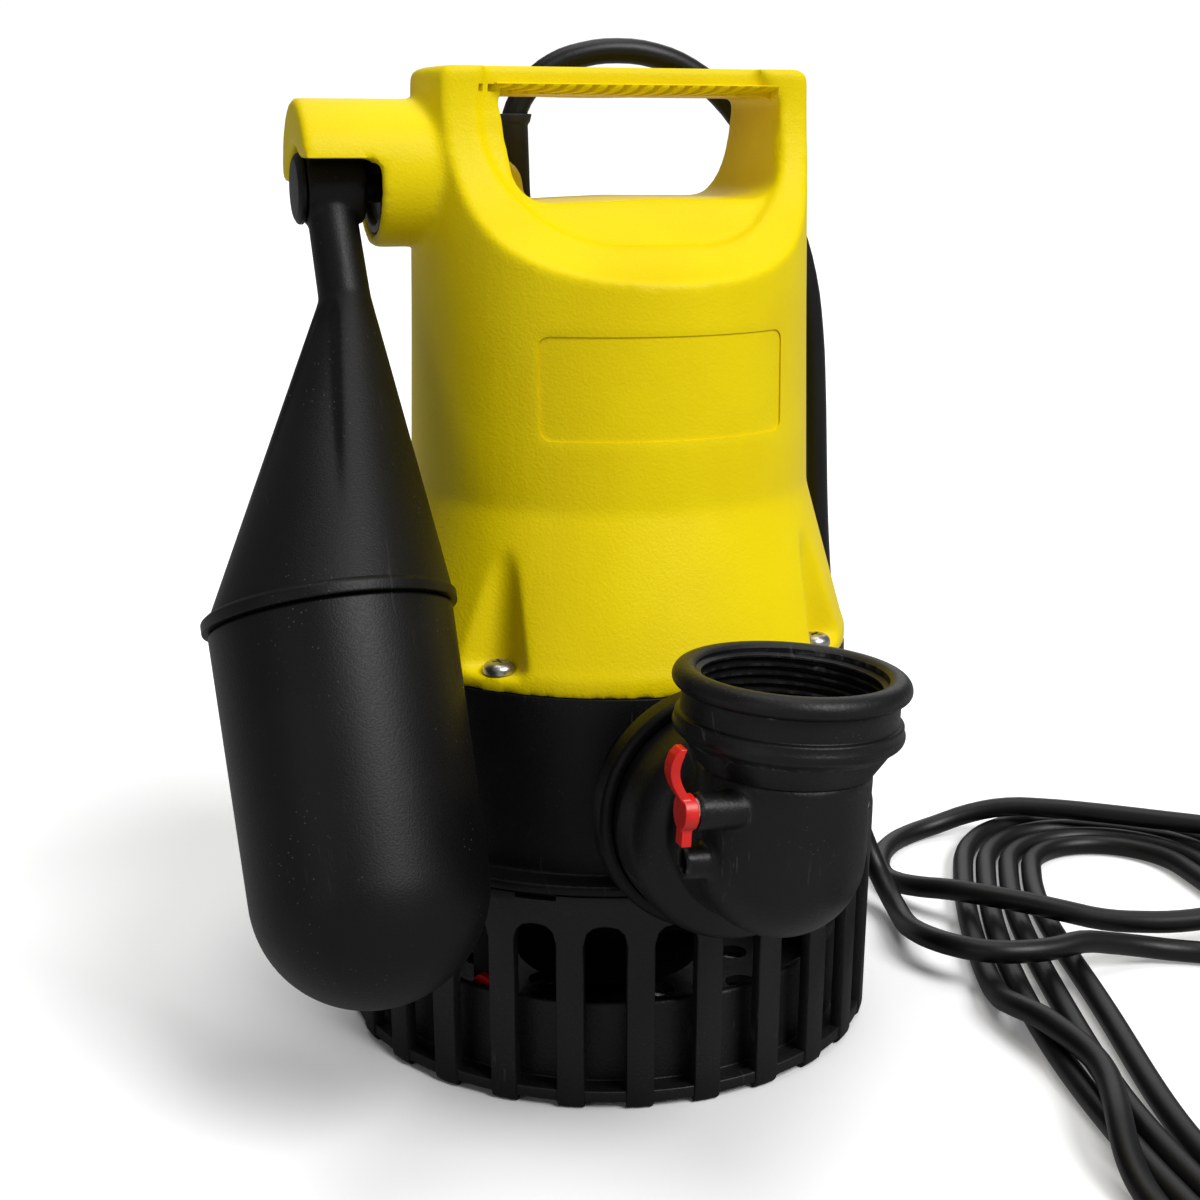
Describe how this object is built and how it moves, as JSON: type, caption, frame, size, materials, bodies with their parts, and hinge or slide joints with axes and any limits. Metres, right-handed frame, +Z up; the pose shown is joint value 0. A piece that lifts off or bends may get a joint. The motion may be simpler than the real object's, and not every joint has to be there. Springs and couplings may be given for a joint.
{
  "type": "submersible sump pump",
  "caption": "Submersible sump pump with yellow motor cover and carry handle, slotted strainer base, threaded side discharge with lift lever, swinging float and coiled mains lead.",
  "frame": {"origin": "on the floor, on the axis of the motor and impeller", "axes": "+Z up along the motor shaft, -Y towards the discharge elbow, -X towards the float"},
  "size_m": [0.4376, 0.3284, 0.3008],
  "materials": {
    "black_plastic": "satin",
    "float_black": "semi gloss",
    "yellow_plastic": "semi gloss",
    "red_plastic": "satin",
    "switch_red": "satin",
    "zinc_steel": "zinc plated",
    "core_steel": "laminated",
    "cast_aluminium": "as cast",
    "copper_wire": "enamelled",
    "soft_rubber": "matt",
    "cord_rubber": "satin",
    "seal_ceramic": "ground",
    "pale_plastic": "satin"
  },
  "bodies": {
    "pump": {"strainer_basket": "black_plastic", "pressure_casing": "black_plastic", "casing_plug": "red_plastic", "casing_screws": "zinc_steel", "pressure_plate": "black_plastic", "pump_housing": "black_plastic", "housing_seal": "soft_rubber", "motor_cover": "yellow_plastic", "cover_screws": "zinc_steel", "motor_can": "zinc_steel", "stator_core": "core_steel", "stator_windings": "copper_wire", "lower_end_shield": "cast_aluminium", "upper_end_shield": "cast_aluminium", "lower_bearing": "zinc_steel", "upper_bearing": "zinc_steel", "seal_seat": "seal_ceramic", "terminal_plate": "pale_plastic", "run_capacitor": "pale_plastic", "float_switch": "switch_red", "float_axle": "black_plastic", "cable_gland": "soft_rubber", "gland_seal": "soft_rubber", "strain_relief": "soft_rubber", "inner_lead": "cord_rubber", "discharge_elbow": "black_plastic", "union_ring": "black_plastic", "elbow_seal": "soft_rubber", "discharge_collar": "black_plastic", "flap_seat": "soft_rubber", "lever_bush": "pale_plastic", "mains_cord": "cord_rubber", "cord_hank": "cord_rubber", "cord_tail": "cord_rubber", "mains_plug": "cord_rubber"},
    "rotor": {"motor_shaft": "zinc_steel", "rotor_core": "core_steel", "impeller": "black_plastic", "impeller_nut": "zinc_steel", "seal_ring": "seal_ceramic"},
    "float": {"float_arm": "black_plastic", "float_shell": "float_black", "switch_magnet": "zinc_steel"},
    "lever": {"vent_lever": "red_plastic", "lever_shaft": "zinc_steel"},
    "flap": {"check_flap": "soft_rubber"}
  },
  "joints": [
    {"name": "float_swing", "type": "hinge", "parent": "pump", "child": "float", "pos_m": [-0.0837, 0, 0.2566], "axis": [-1, 0, 0], "range_deg": [0, 62]},
    {"name": "impeller_spin", "type": "hinge", "parent": "pump", "child": "rotor", "pos_m": [0, 0, 0], "axis": [0, 0, 1], "continuous": true},
    {"name": "lever_turn", "type": "hinge", "parent": "pump", "child": "lever", "pos_m": [0.00114, -0.146, 0.11327], "axis": [0.9982, 0, -0.0593], "range_deg": [0, 60]},
    {"name": "flap_swing", "type": "hinge", "parent": "pump", "child": "flap", "pos_m": [0.00114, -0.146, 0.11327], "axis": [0.9982, 0, -0.0593], "range_deg": [0, 60]}
  ],
  "couplings": [
    {"joint": "flap_swing", "follows": "lever_turn", "ratio": 1}
  ]
}
